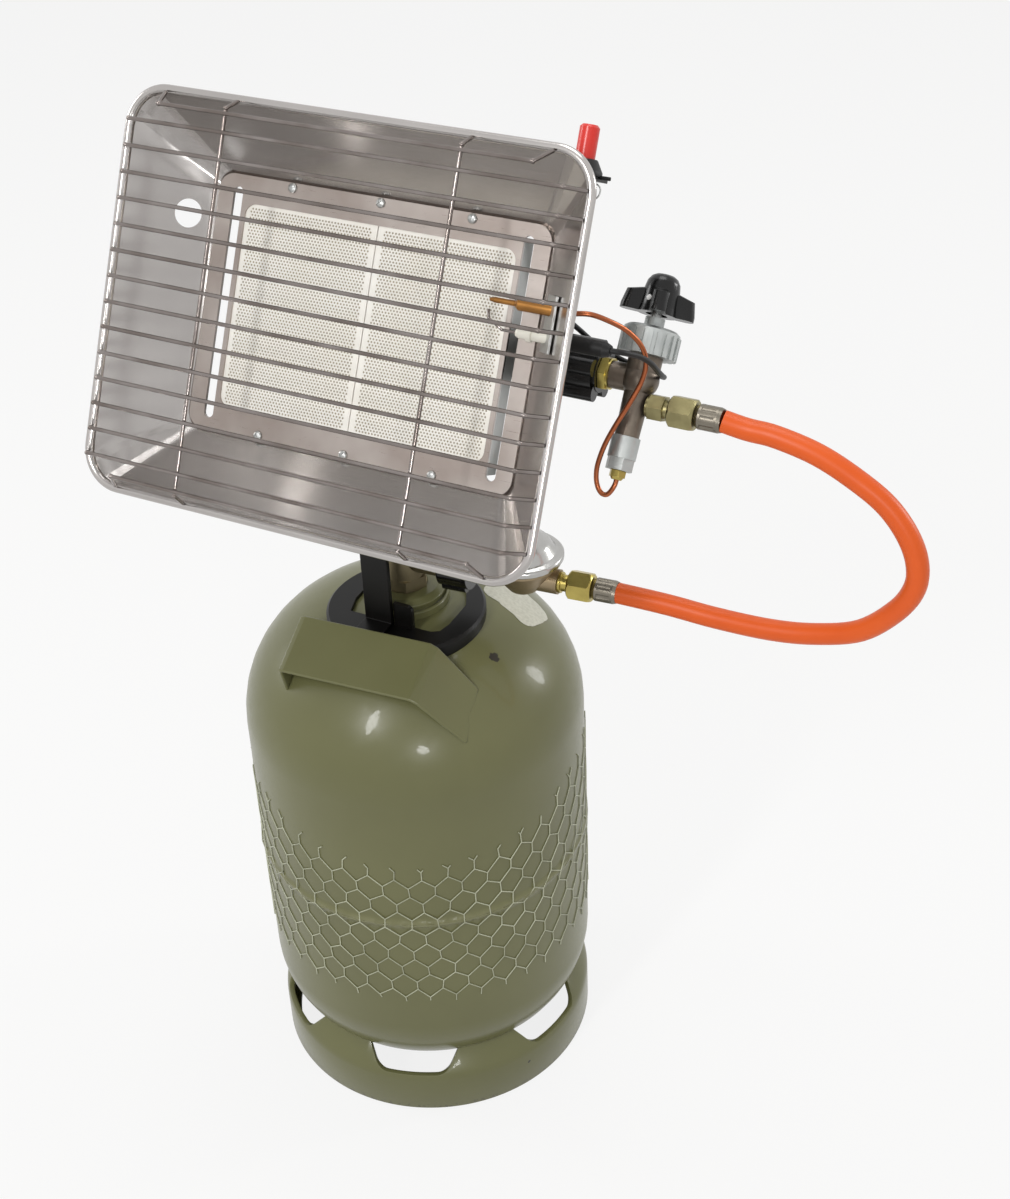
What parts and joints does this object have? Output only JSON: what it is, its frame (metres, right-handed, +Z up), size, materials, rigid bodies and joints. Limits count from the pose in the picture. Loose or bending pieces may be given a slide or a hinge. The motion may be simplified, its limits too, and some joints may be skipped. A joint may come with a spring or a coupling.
{
  "type": "portable gas radiant heater",
  "caption": "Ceramic burner in a steel reflector with a wire guard, tilting in a yoke on the neck of a gas bottle, with hose, regulator and gas tap.",
  "frame": {"origin": "on the floor, on the bottle's axis", "axes": "+Z up along the bottle, the heater faces -Y, the gas tap and hose are on the +X side"},
  "size_m": [0.4866, 0.2481, 0.7026],
  "materials": {
    "bottle_enamel": "glossy olive-grey enamel with soft highlights",
    "net": "off-white knotless net of thin cords in six-sided cells",
    "valve_brass": "dull machined brass",
    "wheel_plastic": "black moulded plastic",
    "regulator_bronze": "darkened bronze-coloured casting",
    "regulator_dome": "pressed silver-coloured dome with a rolled rim",
    "fitting_brass": "dull yellow machined brass",
    "ferrule_steel": "plated steel, crimped lengthwise",
    "hose_rubber": "smooth orange-red gas hose",
    "black_enamel": "semi-gloss black enamel on pressed steel",
    "reflector_steel": "polished stainless sheet with a rolled rim",
    "frame_steel": "brushed stainless, slightly browned by heat",
    "zinc_steel": "zinc-plated steel",
    "grille_steel": "bright steel wire",
    "plaque_ceramic": "cream perforated ceramic",
    "gasket_fibre": "heat-resistant fibre",
    "tap_bronze": "dark grey-brown bronze casting",
    "bonnet_zinc": "grey zinc die-casting with ribs",
    "probe_bronze": "brass-brown sleeve, darkened by heat towards its tip",
    "copper": "bare copper",
    "electrode_ceramic": "white glazed ceramic",
    "lead_black": "black insulation",
    "button_red": "red moulded plastic"
  },
  "bodies": {
    "bottle": {"shell_lower": "bottle_enamel", "shell_upper": "bottle_enamel", "foot_ring": "bottle_enamel", "valve_boss": "bottle_enamel", "neck_ring": "bottle_enamel", "id_plate": "bottle_enamel", "net_sleeve": "net", "bottle_valve": "valve_brass", "valve_bonnet": "valve_brass", "regulator_body": "regulator_bronze", "regulator_dome": "regulator_dome", "regulator_tail": "fitting_brass", "hose_nut_low": "fitting_brass", "ferrule_low": "ferrule_steel", "hose": "hose_rubber", "holder_ring": "black_enamel", "holder_arm": "black_enamel", "yoke": "black_enamel"},
    "wheel": {"hand_wheel": "wheel_plastic"},
    "coupling_nut": {"union_nut": "wheel_plastic"},
    "head": {"reflector": "reflector_steel", "burner_frame": "frame_steel", "frame_screws": "zinc_steel", "plaque_left": "plaque_ceramic", "plaque_right": "plaque_ceramic", "plaque_gasket": "gasket_fibre", "burner_housing": "zinc_steel", "mixing_tube": "zinc_steel", "injector": "fitting_brass", "tap_stub": "fitting_brass", "side_frame_left": "zinc_steel", "side_frame_right": "zinc_steel", "friction_washers": "gasket_fibre", "pivot_bolt": "zinc_steel", "pivot_nut": "zinc_steel", "grille_wires": "grille_steel", "grille_ties": "grille_steel", "tap_body": "tap_bronze", "tap_lock_nut": "fitting_brass", "hose_port": "fitting_brass", "hose_nut_high": "fitting_brass", "ferrule_high": "ferrule_steel", "tap_bonnet": "bonnet_zinc", "magnet_unit": "zinc_steel", "magnet_gland": "fitting_brass", "thermocouple": "probe_bronze", "copper_lead": "copper", "probe_bracket": "zinc_steel", "spark_electrode": "electrode_ceramic", "electrode_wire": "grille_steel", "ignition_boot": "lead_black", "ignition_lead": "lead_black", "igniter_bracket": "black_enamel", "igniter_body": "lead_black", "igniter_nut": "black_enamel"},
    "clamp_nut": {"star_nut": "wheel_plastic"},
    "spindle": {"tap_spindle": "zinc_steel"},
    "knob": {"tap_knob": "wheel_plastic"},
    "button": {"igniter_button": "button_red"}
  },
  "joints": [
    {"name": "tilt", "type": "hinge", "parent": "bottle", "child": "head", "pos_m": [0, 0.018, 0.553], "axis": [-1, 0, 0], "range_deg": [-24, 40], "deforming": ["hose"]},
    {"name": "star_nut_turn", "type": "hinge", "parent": "head", "child": "clamp_nut", "pos_m": [0.119, 0.018, 0.553], "axis": [1, 0, 0], "range_deg": [-180, 180]},
    {"name": "tap_push", "type": "slide", "parent": "head", "child": "spindle", "axis": [0, -0.6018, -0.7986], "range_m": [0, 0.005], "stiffness_N_per_m": 600, "springref_m": -0.002},
    {"name": "tap_turn", "type": "hinge", "parent": "spindle", "child": "knob", "pos_m": [0.1577, 0.018, 0.553], "axis": [0, 0.6018, 0.7986], "range_deg": [-150, 0]},
    {"name": "igniter_press", "type": "slide", "parent": "head", "child": "button", "axis": [0, -0.4462, -0.8949], "range_m": [0, 0.005], "stiffness_N_per_m": 900, "springref_m": -0.002},
    {"name": "valve_wheel_turn", "type": "hinge", "parent": "bottle", "child": "wheel", "pos_m": [0, 0, 0.431], "axis": [0, 0, 1], "range_deg": [-10, 540]},
    {"name": "union_nut_turn", "type": "hinge", "parent": "bottle", "child": "coupling_nut", "pos_m": [0.03985, 0.00349, 0.4036], "axis": [0.9962, 0.0872, 0], "range_deg": [-180, 180]}
  ]
}
